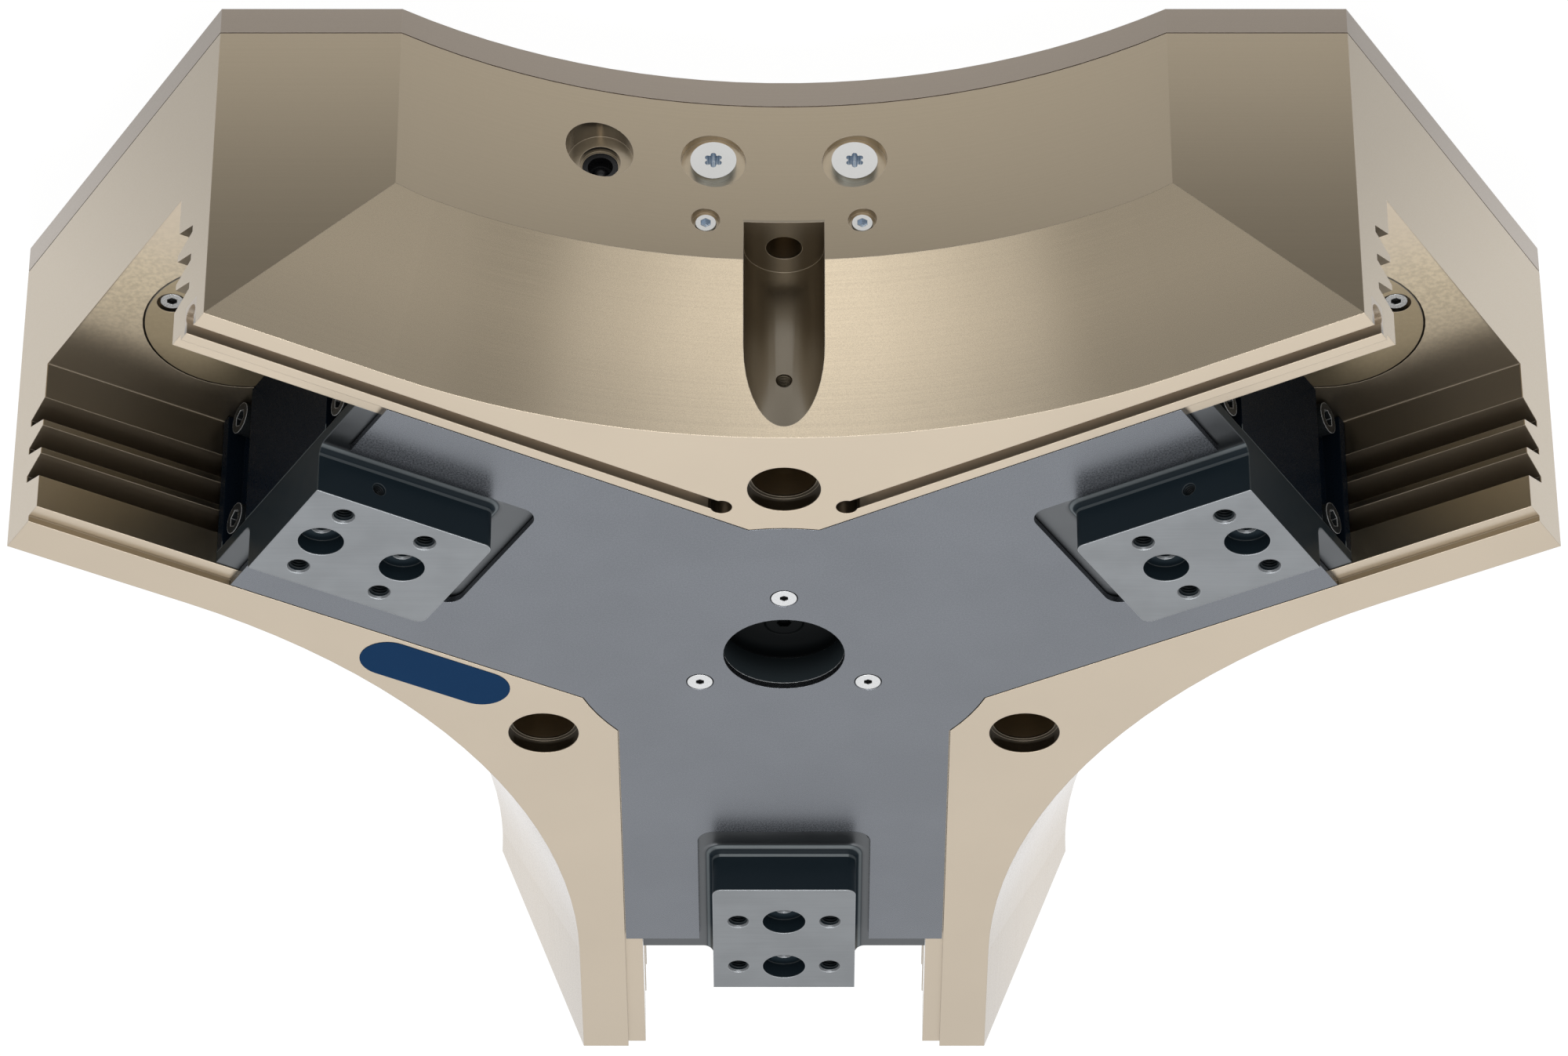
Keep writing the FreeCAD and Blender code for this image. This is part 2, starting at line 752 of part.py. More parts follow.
def jaw_face_tools():
    tools = []
    for x, y in tapped_places():
        tools.append(upright(tapped_radius, jaw_face - tapped_depth, jaw_face + skin, x, y))
        tools.append(Part.makeCone(tapped_radius, tapped_radius + tapped_chamfer, tapped_chamfer,
                                   Vector(x, y, jaw_face - tapped_chamfer)))
    for x in sorted({x for x, y in tapped_places()}):
        step = jaw_face - pilot_depth
        tools.append(upright(pilot_radius, step, jaw_face + skin, x))
        tools.append(upright(pilot_screw_radius, jaw_face - pilot_screw_depth, jaw_face, x))
        tools.append(Part.makeCone(pilot_screw_radius, pilot_screw_radius + pilot_chamfer, pilot_chamfer,
                                   Vector(x, 0, step - pilot_chamfer)))
    x = jaw_outer - side_hole_from_end
    half = jaw_width / 2
    for side in (-1, 1):
        start = Vector(x, side * (half + skin), jaw_face - side_hole_from_face)
        tools.append(Part.makeCylinder(side_hole_radius, side_hole_depth + skin, start, Vector(0, -side, 0)))
    return tools


def end_screw_places():
    return [(side * end_screw_half_span, z) for side in (-1, 1) for z in (end_screw_low, end_screw_high)]


def make_base_jaw(level):
    half = jaw_width / 2
    block = box(carriage_inner, carriage_outer, -carriage_half, carriage_half, carriage_bottom, shoulder)
    ledge = box(carriage_outer - skin, jaw_outer, -carriage_half, carriage_half, end_plate_top, shoulder)
    finger = box(jaw_inner, jaw_outer, -half, half, shoulder - skin, jaw_face)
    finger = rounded_upright(finger, jaw_corner, lambda p: p.x < jaw_inner + skin)
    solid = fused([block, ledge, finger])
    level_edges = [e for e in solid.Edges if e.BoundBox.ZLength < 0.01 and abs(e.CenterOfMass.z - shoulder) < 0.01]
    foot = [e for e in level_edges if abs(e.CenterOfMass.y) < half + skin
            and e.CenterOfMass.x > jaw_inner - skin and e.BoundBox.XMin < jaw_outer - skin]
    solid = solid.makeFillet(jaw_fillet, foot)
    solid = fused([solid] + guide_ribs())
    tools = [lying(cylinder_radius, cylinder_inner, carriage_outer + skin, 0, cylinder_height),
             lying(rod_radius + running_clearance + bush_wall, carriage_inner - skin, cylinder_inner + skin,
                   0, cylinder_height)]
    thread = M6_HEAD[2] + thread_clearance
    tools += [lying(thread, carriage_outer - end_screw_depth - skin, carriage_outer + skin, y, z)
              for y, z in end_screw_places()]
    tools += rack_pocket_tools(level) + jaw_face_tools()
    return solid.cut(tools).removeSplitter()


def make_end_plate():
    # Cylinder head of a base jaw: its screws lie in two upright channels beside the middle pad.
    half = carriage_half - seat_clearance
    plate = box(carriage_outer, jaw_outer, -half, half, carriage_bottom, end_plate_top)
    channel = box(carriage_outer + end_plate_flange, jaw_outer + skin, end_plate_pad / 2, half - end_plate_edge,
                  carriage_bottom - skin, end_plate_top + skin)
    hole = M6_HEAD[2] + hole_clearance
    tools = [lying(hole, carriage_outer - skin, jaw_outer, y, z) for y, z in end_screw_places()]
    tools += [channel, channel.mirror(Vector(0, 0, 0), Vector(0, 1, 0))]
    return plate.cut(tools)


def make_end_screws():
    screw = facing_out(socket_screw(M6_HEAD, end_plate_flange + end_screw_depth))
    return [moved(screw, carriage_outer + end_plate_flange, y, z) for y, z in end_screw_places()]


def make_bush():
    outer = rod_radius + running_clearance + bush_wall
    ring = lying(outer, carriage_inner, cylinder_inner, 0, cylinder_height)
    return ring.cut(lying(rod_radius + running_clearance, carriage_inner - skin, cylinder_inner + skin,
                          0, cylinder_height))


def make_piston():
    solid = lying(cylinder_radius - running_clearance, piston_inner, piston_outer, 0, cylinder_height)
    middle = (piston_inner + piston_outer) / 2
    inside = cylinder_radius - running_clearance - seal_section
    groove = lying(cylinder_radius + skin, middle - seal_section / 2, middle + seal_section / 2, 0, cylinder_height)
    groove = groove.cut(lying(inside, middle - seal_section, middle + seal_section, 0, cylinder_height))
    socket = lying(rod_spigot_radius, piston_inner - skin, piston_inner + rod_spigot_depth, 0, cylinder_height)
    return solid.cut([groove, socket])


def make_piston_seal():
    middle = (piston_inner + piston_outer) / 2
    outer = cylinder_radius - running_clearance
    inside = outer - seal_section
    x0 = middle - seal_section / 2
    x1 = middle + seal_section / 2
    return lying(outer, x0, x1, 0, cylinder_height).cut(lying(inside, x0 - skin, x1 + skin, 0, cylinder_height))


def make_rod():
    # The rod stays still; its spigots sit in the anchor block and in the piston.
    return fused([lying(rod_radius, anchor_outer, piston_inner, 0, cylinder_height),
                  lying(rod_spigot_radius, anchor_inner - nut_height, piston_inner + rod_spigot_depth,
                        0, cylinder_height)])


def make_rod_nut():
    nut = facing_out(hexagon(nut_across_flats, 0, nut_height))
    nut = moved(nut, anchor_inner - nut_height, 0, cylinder_height)
    hole = lying(rod_spigot_radius, anchor_inner - nut_height - skin, anchor_inner + skin, 0, cylinder_height)
    return nut.cut(hole)


def anchor_screw_places():
    middle = (anchor_inner + anchor_outer) / 2
    return [(middle, side * anchor_screw_half_span) for side in (-1, 1)]


def make_anchor():
    half = anchor_width / 2
    solid = box(anchor_inner, anchor_outer, -half, half, slot_floor, anchor_top)
    tools = [lying(rod_spigot_radius, anchor_inner - skin, anchor_outer + skin, 0, cylinder_height)]
    for x, y in anchor_screw_places():
        tools.append(upright(M6_HEAD[2] + hole_clearance, slot_floor - skin, anchor_top + skin, x, y))
        tools.append(upright(M6_HEAD[0] + hole_clearance / 2, anchor_top - M6_HEAD[1], anchor_top + skin, x, y))
    return solid.cut(tools)


def make_anchor_screws():
    length = anchor_top - M6_HEAD[1] - slot_floor + anchor_screw_depth
    screw = socket_screw(M6_HEAD, length)
    return [moved(screw, x, y, anchor_top - M6_HEAD[1]) for x, y in anchor_screw_places()]


def make_floor_cover():
    bottom = slot_floor - floor_cover_thickness
    outer = floor_cover_radius - seat_clearance
    solid = upright(outer, bottom, slot_floor - floor_cover_rim, floor_cover_centre)
    rim = Part.makeCone(outer, outer - floor_cover_rim, floor_cover_rim,
                        Vector(floor_cover_centre, 0, slot_floor - floor_cover_rim))
    tools = []
    for x, y in floor_screw_places():
        tools.append(upright(M4_LOW_HEAD[2] + hole_clearance, bottom - skin, slot_floor + skin, x, y))
        tools.append(upright(M4_LOW_HEAD[0] + low_head_clearance, floor_screw_seat, slot_floor + skin, x, y))
    return solid.fuse(rim).cut(tools)


def make_floor_screws():
    # The heads are sunk below the floor, so that the base jaw can run over them.
    screw = socket_screw(M4_LOW_HEAD, floor_screw_length)
    return [moved(screw, x, y, floor_screw_seat) for x, y in floor_screw_places()]


def six_lobes(radius, lobe, z0, z1):
    ring = radius - lobe
    lobes = [upright(lobe, z0, z1, ring * cos(radians(60 * k)), ring * sin(radians(60 * k))) for k in range(6)]
    return fused([upright(ring, z0, z1)] + lobes)


def make_port_plugs():
    top = plug_flange_height
    plug = upright(plug_flange_radius, 0, top).fuse(upright(plug_shank_radius, -plug_shank_length, 0))
    plug = plug.cut(six_lobes(plug_socket_radius, plug_lobe_radius, top - plug_socket_depth, top + skin)).removeSplitter()
    face = port_face(port_offset)
    return [turned(moved(facing_out(plug), face, side * port_offset, port_height), PORT_GAP) for side in (-1, 1)]


def make_bleed_plugs():
    plug = upright(bleed_radius, -bleed_length, bleed_proud)
    plug = facing_out(plug.cut(hexagon(bleed_key, bleed_proud - bleed_socket_depth, bleed_proud + skin)))
    recess = wall_distance(bleed_offset) - bleed_recess_depth
    return [turned(moved(plug, recess, side * bleed_offset, bleed_height), PORT_GAP) for side in (-1, 1)]


def make_purge_insert():
    step = wall_distance(purge_offset) - purge_bore_depth - purge_step_depth
    x0 = step - purge_insert_length
    solid = lying(purge_insert_radius, x0, step, purge_offset, purge_height)
    bore = lying(purge_insert_bore, x0 + purge_insert_length / 2, step + skin, purge_offset, purge_height)
    solid = solid.cut(bore)
    seat = Part.makeSphere(purge_ball_radius, Vector(x0 + purge_insert_length / 2, purge_offset, purge_height))
    return turned(fused([solid, seat]), PORT_GAP)


os.makedirs("parts", exist_ok=True)

save("housing", [make_housing()])
save("rear_cover", [make_rear_cover()])
save("rear_cover_screws", make_rear_screws())
save("front_cover", [make_front_cover()])
save("front_cover_screws", make_cover_screws())
save("centre_hub", [make_hub()])
save("centre_hub_screw", [make_hub_screw()])
save("centre_post", [make_post()])
save("pinion_bearings", make_bearings())
save("sync_pinion", [make_pinion()])
save("port_plugs", make_port_plugs())
save("bleed_plugs", make_bleed_plugs())
save("purge_port_insert", [make_purge_insert()])

floor_screws = []
anchor_screws = []
rod_nuts = []
for number, (angle, level) in enumerate(zip(ARM_ANGLES, rack_levels), start=1):
    end = "_" + str(number)
    save("base_jaw" + end, [turned(make_base_jaw(level), angle)])
    save("end_plate" + end, [turned(make_end_plate(), angle)])
    save("end_plate_screws" + end, [turned(screw, angle) for screw in make_end_screws()])
    save("rack" + end, [turned(make_rack(level), angle)])
    save("rack_screws" + end, [turned(screw, angle) for screw in make_rack_screws(level)])
    save("rod_bush" + end, [turned(make_bush(), angle)])
    save("piston_rod" + end, [turned(make_rod(), angle)])
    save("piston" + end, [turned(make_piston(), angle)])
    save("piston_seal" + end, [turned(make_piston_seal(), angle)])
    save("rod_anchor" + end, [turned(make_anchor(), angle)])
    save("floor_cover" + end, [turned(make_floor_cover(), angle)])
    floor_screws += [turned(screw, angle) for screw in make_floor_screws()]
    anchor_screws += [turned(screw, angle) for screw in make_anchor_screws()]
    rod_nuts.append(turned(make_rod_nut(), angle))
save("floor_cover_screws", floor_screws)
save("rod_anchor_screws", anchor_screws)
save("rod_nuts", rod_nuts)
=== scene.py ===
import json
from math import cos, pi, radians, sin

import bpy
import bmesh
from mathutils import Matrix, Vector


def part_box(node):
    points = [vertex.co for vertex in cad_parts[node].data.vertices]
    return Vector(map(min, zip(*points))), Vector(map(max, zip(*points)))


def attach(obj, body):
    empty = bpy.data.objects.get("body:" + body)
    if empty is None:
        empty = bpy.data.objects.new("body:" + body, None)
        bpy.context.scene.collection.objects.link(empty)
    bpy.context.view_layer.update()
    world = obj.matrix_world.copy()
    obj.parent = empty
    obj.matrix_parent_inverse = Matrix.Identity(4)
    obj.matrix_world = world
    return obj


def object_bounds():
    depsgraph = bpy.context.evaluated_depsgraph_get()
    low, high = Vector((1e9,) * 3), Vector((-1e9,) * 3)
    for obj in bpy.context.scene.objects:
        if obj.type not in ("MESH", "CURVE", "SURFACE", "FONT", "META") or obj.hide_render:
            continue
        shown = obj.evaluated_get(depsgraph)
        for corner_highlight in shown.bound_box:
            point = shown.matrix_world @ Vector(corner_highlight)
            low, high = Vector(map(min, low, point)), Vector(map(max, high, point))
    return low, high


# Looks of the long-stroke centric gripper: finishes, small added pieces, stage, light and camera.
# The back lies on z = 0, the jaws point up, arm 1 points along +Y and the ports face -Y.
# Lengths are in metres, the camera's lens and sensor in millimetres, and angles in degrees.

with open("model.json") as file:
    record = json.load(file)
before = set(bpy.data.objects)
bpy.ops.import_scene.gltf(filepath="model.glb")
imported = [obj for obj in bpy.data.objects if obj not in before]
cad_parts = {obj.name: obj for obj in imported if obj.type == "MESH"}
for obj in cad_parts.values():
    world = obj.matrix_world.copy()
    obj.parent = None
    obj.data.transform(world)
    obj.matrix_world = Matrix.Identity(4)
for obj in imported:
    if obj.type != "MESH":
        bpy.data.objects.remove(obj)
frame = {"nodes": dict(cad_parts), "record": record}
cad_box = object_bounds()
nodes = frame["nodes"]
mounts = {entry["name"]: entry for entry in frame["record"]["mounts"]}
scene = bpy.context.scene

MM = 0.001
ARM_ANGLES = {1: 90.0, 2: 210.0, 3: 330.0}
GAP_ANGLES = (30.0, 150.0, 270.0)
# Angle of its arm and side of the arm for each sensor groove
SENSOR_GROOVES = ((ARM_ANGLES[2], 1), (ARM_ANGLES[3], -1))

# Places that the frame gives
BODY_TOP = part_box("housing")[1].z
ARM_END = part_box("housing")[1].y
COVER_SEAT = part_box("front_cover")[0].z
SLOT_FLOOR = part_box("floor_cover_1")[1].z
RIB_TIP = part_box("base_jaw_1")[1].x
JAW_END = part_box("base_jaw_1")[1].y
JAW_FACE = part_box("base_jaw_1")[1].z
END_PLATE_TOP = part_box("end_plate_1")[1].z
COVER_SCREW_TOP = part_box("front_cover_screws")[1].z
FLOOR_SCREW_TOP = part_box("floor_cover_screws")[1].z
CUP_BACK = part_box("centre_hub")[0].z
CUP_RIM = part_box("centre_hub")[1].z
CUP_SCREW_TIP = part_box("centre_hub_screw")[0].z
PLUGS_LOW, PLUGS_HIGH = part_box("port_plugs")
PURGE_CENTRE = sum(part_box("purge_port_insert"), Vector()) / 2
MOUNT_CIRCLE = mounts["robot_flange"]["dims"]["pcd_mm"] / 2 * MM
POCKET_CIRCLE = mounts["side_bolts"]["dims"]["pcd_mm"] / 2 * MM
INNER_ROW = mounts["jaw_1_inner_row"]
OUTER_ROW = mounts["jaw_1_outer_row"]

# Places on the body where the finish, painted shade and painted light change
SLOT_START = 50.0 * MM
SLOT_END = ARM_END - 0.2 * MM
SLOT_HALF = 47.0 * MM
GUIDE_HALF = RIB_TIP + 1.0 * MM
LOWER_WALL = BODY_TOP - 43.4 * MM
UPPER_WALL = BODY_TOP - 13.8 * MM
FLOOR_SHADE_FADE = 50.0 * MM
MILLED_HALF = 21.5 * MM
BEVEL_LOW = BODY_TOP - 31.0 * MM
BEVEL_HIGH = BODY_TOP + 1.0 * MM
POCKET_BACK = POCKET_CIRCLE - 13.5 * MM
POCKET_SEAT = 53.0 * MM
POCKET_HALF = 12.2 * MM
CROSS_HOLE_START = POCKET_CIRCLE - 28.5 * MM
CROSS_HOLE_END = POCKET_CIRCLE - 13.0 * MM
CROSS_HOLE_HEIGHT = BODY_TOP - 20.0 * MM
CROSS_HOLE_HALF = 2.8 * MM
CROSS_HOLE_HALF_HEIGHT = 3.0 * MM
RECESS_RADIUS = 11.3 * MM
RECESS_LOW = BODY_TOP - 5.2 * MM
RECESS_HIGH = BODY_TOP - 0.2 * MM
GROOVE_START = 59.0 * MM
GROOVE_HOLE_START = 52.0 * MM
GROOVE_INNER = 55.2 * MM
GROOVE_OUTER = 62.6 * MM
GROOVE_LOW = BODY_TOP - 10.0 * MM
GROOVE_HIGH = BODY_TOP - 0.1 * MM
GROOVE_LIT = BODY_TOP - 4.5 * MM
GROOVE_LIT_HEIGHT = 4.0 * MM
PLUG_RADIUS = (PLUGS_HIGH.z - PLUGS_LOW.z) / 2
PORT_OFFSET = PLUGS_HIGH.x - PLUG_RADIUS
PORT_HEIGHT = PLUGS_LOW.z + PLUG_RADIUS
PORT_RADIUS = 9.5 * MM
PORT_WALL = PLUGS_HIGH.y + 1.0 * MM
PORT_WALL_DEPTH = 10.0 * MM
PURGE_RADIUS = 10.3 * MM

# Places on the jaws, the end plates, the screws and the cup where the finish, painted shade and painted
# highlights change
JAW_SHOULDER_LOW = COVER_SEAT - 2.5 * MM
JAW_SHOULDER_HIGH = COVER_SEAT + 0.4 * MM
JAW_FOOT_LOW = COVER_SEAT - 0.1 * MM
JAW_FOOT_HIGH = COVER_SEAT + 3.6 * MM
JAW_CHAMFER = JAW_FACE - 6.1 * MM
JAW_FACE_LOW = JAW_FACE - 2.8 * MM
JAW_FACE_HIGH = JAW_FACE - 1.5 * MM
END_PLATE_RIM = END_PLATE_TOP - 1.5 * MM
SCREW_SOCKETS = ((COVER_SCREW_TOP - 3.0 * MM, COVER_SCREW_TOP - 0.3 * MM),
                 (FLOOR_SCREW_TOP - 4.4 * MM, FLOOR_SCREW_TOP - 0.3 * MM))
CUP_FLOOR = ((CUP_SCREW_TIP - 3.0 * MM, CUP_BACK + 4.0 * MM),)
CUP_WALL = (CUP_BACK + 3.1 * MM, CUP_RIM + 0.5 * MM)

# Camera, as fitted to the photograph: the picture is turned by half a turn
CAMERA_PLACE = (0.0, -1.80622, 1.35434)
CAMERA_DOWN = 35.49
CAMERA_LENS = 160.9
CAMERA_SENSOR = 36.0
CAMERA_REACH = 100.0


# Materials

# Width over which a mask fades, where no other is given
FADE = 0.2 * MM


class Wiring:
    """Node tree of one material, with small helpers to wire it."""

    def __init__(self, name):
        self.material = bpy.data.materials.new(name)
        self.material.use_nodes = True
        self.tree = self.material.node_tree
        self.tree.nodes.clear()
        self.surface = self.tree.nodes.new("ShaderNodeOutputMaterial").inputs["Surface"]
        self.object_coords = self.tree.nodes.new("ShaderNodeTexCoord").outputs["Object"]
        self.x, self.y, self.height = (self.part(self.object_coords, axis) for axis in range(3))

    def link(self, source, target):
        self.tree.links.new(source, target)

    def fill(self, socket, value):
        # Give a socket its link, number, vector or opaque colour
        if isinstance(value, bpy.types.NodeSocket):
            self.link(value, socket)
        elif isinstance(value, tuple) and socket.type == "RGBA":
            socket.default_value = value + (1.0,)
        else:
            socket.default_value = value

    def part(self, vector, axis):
        node = self.tree.nodes.new("ShaderNodeSeparateXYZ")
        self.link(vector, node.inputs[0])
        return node.outputs[axis]

    def ramp(self, value, low, high, to_low, to_high, shape="SMOOTHSTEP"):
        node = self.tree.nodes.new("ShaderNodeMapRange")
        node.interpolation_type = shape
        for key, number in (("From Min", low), ("From Max", high), ("To Min", to_low), ("To Max", to_high)):
            node.inputs[key].default_value = number
        self.link(value, node.inputs["Value"])
        return node.outputs["Result"]

    def shader(self, kind, colour, strength=None):
        node = self.tree.nodes.new(kind)
        self.fill(node.inputs["Color"], colour)
        if strength is not None:
            node.inputs["Strength"].default_value = strength
        return node.outputs[0]

    def mix_shaders(self, factor, first, second):
        node = self.tree.nodes.new("ShaderNodeMixShader")
        for socket, value in zip(node.inputs, (factor, first, second)):
            self.fill(socket, value)
        return node.outputs[0]


class Finish(Wiring):
    """Procedural finish of a piece: a Principled shader with textures and masks by place."""

    NOISE_LOW = 0.3
    NOISE_HIGH = 0.7
    SLOPE_LOW = 0.3
    SLOPE_HIGH = 0.7
    BEVEL_SAMPLES = 6
    BUMP_DISTANCE = 0.1 * MM
    EDGE_FULL = 0.87
    EDGE_NONE = 0.99

    def __init__(self, name):
        super().__init__(name)
        self.bsdf = self.tree.nodes.new("ShaderNodeBsdfPrincipled")
        self.link(self.bsdf.outputs[0], self.surface)
        self.normal = self.tree.nodes.new("ShaderNodeNewGeometry").outputs["Normal"]
        self.up = self.part(self.normal, 2)
        self.slope = self.between(self.up, self.SLOPE_LOW, self.SLOPE_HIGH, 0.1)

    def set(self, **values):
        for key, value in values.items():
            self.fill(self.bsdf.inputs[key.replace("_", " ")], value)

    def math(self, operation, a, b=0.0):
        node = self.tree.nodes.new("ShaderNodeMath")
        node.operation = operation
        for socket, value in zip(node.inputs, (a, b)):
            self.fill(socket, value)
        return node.outputs[0]

    def times(self, first, *others):
        for other in others:
            first = self.math("MULTIPLY", first, other)
        return first

    def any_of(self, *masks):
        total = masks[0]
        for mask in masks[1:]:
            total = self.math("MAXIMUM", total, mask)
        return total

    def distance(self, a, b):
        return self.math("SQRT", self.math("ADD", self.times(a, a), self.times(b, b)))

    def mix(self, factor, a, b):
        node = self.tree.nodes.new("ShaderNodeMix")
        node.data_type = "RGBA"
        self.link(factor, node.inputs["Factor"])
        self.fill(node.inputs[6], a)
        self.fill(node.inputs[7], b)
        return node.outputs[2]

    def dot(self, a, b):
        node = self.tree.nodes.new("ShaderNodeVectorMath")
        node.operation = "DOT_PRODUCT"
        for socket, value in zip(node.inputs, (a, b)):
            self.fill(socket, value)
        return node.outputs["Value"]

    def noise(self, scale, detail, stretch=(1.0, 1.0, 1.0)):
        mapping = self.tree.nodes.new("ShaderNodeMapping")
        mapping.inputs["Scale"].default_value = stretch
        self.link(self.object_coords, mapping.inputs["Vector"])
        node = self.tree.nodes.new("ShaderNodeTexNoise")
        node.inputs["Scale"].default_value = scale
        node.inputs["Detail"].default_value = detail
        self.link(mapping.outputs["Vector"], node.inputs["Vector"])
        return node.outputs["Fac"]

    def spread(self, noise, low, high):
        return self.ramp(noise, self.NOISE_LOW, self.NOISE_HIGH, low, high)

    def tinted(self, noise, colour, contrast):
        darker, lighter = shade(colour, 1 - contrast), shade(colour, 1 + contrast)
        return self.mix(self.spread(noise, 0.0, 1.0), darker, lighter)

    def above(self, value, edge, soft=FADE):
        return self.ramp(value, edge, edge + soft, 0.0, 1.0)

    def below(self, value, edge, soft=FADE):
        return self.ramp(value, edge, edge + soft, 1.0, 0.0)

    def between(self, value, low, high, soft=FADE):
        return self.times(self.above(value, low, soft), self.below(value, high - soft, soft))

    def without(self, mask):
        return self.below(mask, 0.0, 1.0)

    def along(self, angle):
        a = radians(angle)
        return self.dot(self.object_coords, (cos(a), sin(a), 0.0))

    def across(self, angle, side=1):
        a = radians(angle)
        return self.dot(self.object_coords, (-side * sin(a), side * cos(a), 0.0))

    def aside(self, angle):
        return self.math("ABSOLUTE", self.across(angle))

    def in_slots(self, half, soft=0.3 * MM):
        # 1 in the three slots, up to a given distance from the middle of the arm
        return self.any_of(*(
            self.times(self.between(self.along(angle), SLOT_START, SLOT_END, 0.3 * MM),
                       self.below(self.aside(angle), half, soft))
            for angle in ARM_ANGLES.values()))

    def in_pockets(self):
        # 1 in the three bolt pockets, but not on the bevels around them
        inside = self.any_of(*(
            self.times(self.above(self.along(angle), POCKET_BACK, 0.5 * MM),
                       self.below(self.aside(angle), POCKET_HALF))
            for angle in GAP_ANGLES))
        return self.times(inside, self.above(self.height, POCKET_SEAT, 0.5 * MM), self.without(self.slope))

    def in_cross_holes(self):
        # 1 in the tapped holes in the backs of the bolt pockets
        inside = self.any_of(*(
            self.times(self.between(self.along(angle), CROSS_HOLE_START, CROSS_HOLE_END),
                       self.below(self.aside(angle), CROSS_HOLE_HALF))
            for angle in GAP_ANGLES))
        low, high = CROSS_HOLE_HEIGHT - CROSS_HOLE_HALF_HEIGHT, CROSS_HOLE_HEIGHT + CROSS_HOLE_HALF_HEIGHT
        return self.times(inside, self.between(self.height, low, high))

    def in_mount_recesses(self):
        # 1 in the sleeve recesses of the three mounting holes
        distances = [
            self.distance(self.math("SUBTRACT", self.along(angle), MOUNT_CIRCLE), self.across(angle))
            for angle in GAP_ANGLES]
        inside = self.any_of(*(self.below(distance, RECESS_RADIUS) for distance in distances))
        return self.times(inside, self.between(self.height, RECESS_LOW, RECESS_HIGH))

    def in_sensor_grooves(self, start):
        # 1 in the two sensor grooves, from a given distance along the arm
        inside = self.any_of(*(
            self.times(self.above(self.along(angle), start, 0.5 * MM),
                       self.between(self.across(angle, side), GROOVE_INNER, GROOVE_OUTER))
            for angle, side in SENSOR_GROOVES))
        return self.times(inside, self.between(self.height, GROOVE_LOW, GROOVE_HIGH, 0.1 * MM))

    def on_port_wall(self):
        # 1 on the wall that has the ports
        return self.below(self.y, PORT_WALL, PORT_WALL_DEPTH)

    def in_purge_port(self):
        # 1 on the lower side of the purge port
        x, z = PURGE_CENTRE.x, PURGE_CENTRE.z
        inside = self.times(self.between(self.x, x - PURGE_RADIUS, x + PURGE_RADIUS),
                            self.between(self.height, z - PURGE_RADIUS, z + PURGE_RADIUS))
        return self.times(inside, self.on_port_wall(), self.above(self.up, 0.0, 0.6))

    def near_ports(self):
        # 1 on the spot faces of the two air ports
        beside = self.math("SUBTRACT", self.math("ABSOLUTE", self.x), PORT_OFFSET)
        over = self.math("SUBTRACT", self.height, PORT_HEIGHT)
        inside = self.below(self.distance(beside, over), PORT_RADIUS)
        return self.times(inside, self.on_port_wall())

    def grain(self, height, strength, edge):
        # Grain on top of slightly broken edges; returns a mask of the edges
        rounded = self.tree.nodes.new("ShaderNodeBevel")
        rounded.samples = self.BEVEL_SAMPLES
        rounded.inputs["Radius"].default_value = edge
        bump = self.tree.nodes.new("ShaderNodeBump")
        bump.inputs["Strength"].default_value = strength
        bump.inputs["Distance"].default_value = self.BUMP_DISTANCE
        self.link(rounded.outputs[0], bump.inputs["Normal"])
        self.link(height, bump.inputs["Height"])
        self.link(bump.outputs[0], self.bsdf.inputs["Normal"])
        turn = self.dot(rounded.outputs[0], self.normal)
        return self.ramp(turn, self.EDGE_FULL, self.EDGE_NONE, 1.0, 0.0)


def shade(colour, factor):
    return tuple(c * factor for c in colour)


BRONZE = (0.605, 0.508, 0.383)
# Painted shade: upright walls take a darker copy of the face colour
BRONZE_WALL_SHADE = (0.54, 0.44, 0.30)
BRONZE_FLOOR = (0.70, 0.59, 0.42)
COVER_FLOOR = (0.44, 0.355, 0.225)
REAR_BRONZE = (0.50, 0.43, 0.37)
# Painted shade: the rear plate's walls take a darker copy of its face colour
REAR_WALL_SHADE = (0.43, 0.36, 0.29)
# Painted shade on the slot walls, with painted light on their upper strip and the deepest shade in the
# guide grooves
SLOT_WALL_SHADE = (0.30, 0.265, 0.205)
SLOT_WALL_LOW_SHADE = shade(SLOT_WALL_SHADE, 0.6)
SLOT_WALL_MIDDLE_SHADE = shade(SLOT_WALL_SHADE, 0.85)
SLOT_WALL_TOP_LIGHT = shade(SLOT_WALL_SHADE, 2.4)
GUIDE_GROOVE_SHADE = shade(SLOT_WALL_SHADE, 0.25)
# Painted shade in the bolt pockets, deeper on their seats; the recess and hole tones are darker shades of
# it
POCKET_SHADE = (0.41, 0.345, 0.25)
POCKET_BOTTOM_SHADE = shade(POCKET_SHADE, 0.5)
# Painted shade in the mounting holes' sleeve recesses
MOUNT_RECESS_SHADE = shade(POCKET_SHADE, 0.35)
# Painted shade in the purge port and the pockets' tapped holes
DEEP_HOLE_SHADE = shade(POCKET_SHADE, 0.25)
# Painted light deep in the sensor grooves and painted shade at their entries
GROOVE_LIGHT = (0.60, 0.50, 0.38)
GROOVE_HOLE_SHADE = shade(GROOVE_LIGHT, 0.3)
# Bright steel tone; on the black screws' rims it stands as a painted glint
BRIGHT_STEEL_AND_GLINT = (0.80, 0.81, 0.82)
# Painted highlight on the edges of black steel
BLACK_EDGE_HIGHLIGHT = (0.16, 0.18, 0.185)
# Painted highlight along the jaws' foot
FOOT_HIGHLIGHT = (0.30, 0.335, 0.35)


